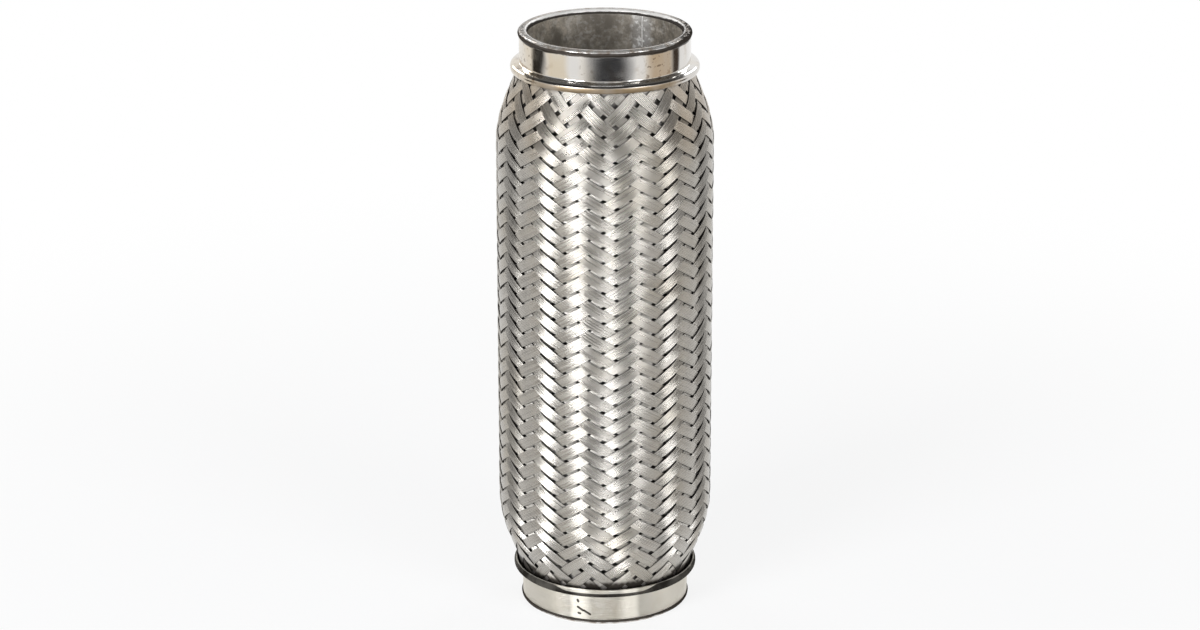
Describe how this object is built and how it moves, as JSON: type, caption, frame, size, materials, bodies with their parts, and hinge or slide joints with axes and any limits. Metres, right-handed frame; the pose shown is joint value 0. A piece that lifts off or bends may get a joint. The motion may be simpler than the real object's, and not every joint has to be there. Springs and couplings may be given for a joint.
{
  "type": "exhaust flex pipe",
  "caption": "Braided steel exhaust flex pipe with a bellows inside, standing on end, with a flared cap and a slip-in socket at each end.",
  "frame": {"origin": "middle of the foot, on the pipe's axis at the end of the lower rim weld", "axes": "+Z along the pipe from the lower end to the upper end, -Y to the viewer of the picture, +X to the viewer's right"},
  "size_m": [0.0724, 0.0722, 0.2],
  "materials": {
    "upper_cap_steel": "polished pressed stainless steel",
    "lower_cap_steel": "satin pressed stainless steel",
    "sleeve_steel": "matt rolled strip",
    "weld_steel": "smooth weld bead",
    "bellows_steel": "thin corrugated sheet",
    "liner_steel": "folded strip",
    "braid_wire": "drawn stainless wire, bright"
  },
  "bodies": {
    "lower_end": {"lower_end_cap": "lower_cap_steel", "lower_inner_sleeve": "sleeve_steel", "lower_rim_weld": "weld_steel", "bellows": "bellows_steel", "interlock_liner": "liner_steel", "outer_braid": "braid_wire"},
    "upper_end": {"upper_end_cap": "upper_cap_steel", "upper_inner_sleeve": "sleeve_steel", "upper_rim_weld": "weld_steel"}
  },
  "joints": [
    {"name": "flex_bend", "type": "hinge", "parent": "lower_end", "child": "upper_end", "pos_m": [0, 0, 0.1], "axis": [0, 1, 0], "range_deg": [-15, 15], "stiffness_Nm_per_rad": 40, "deforming": ["bellows", "interlock_liner", "outer_braid"]}
  ]
}
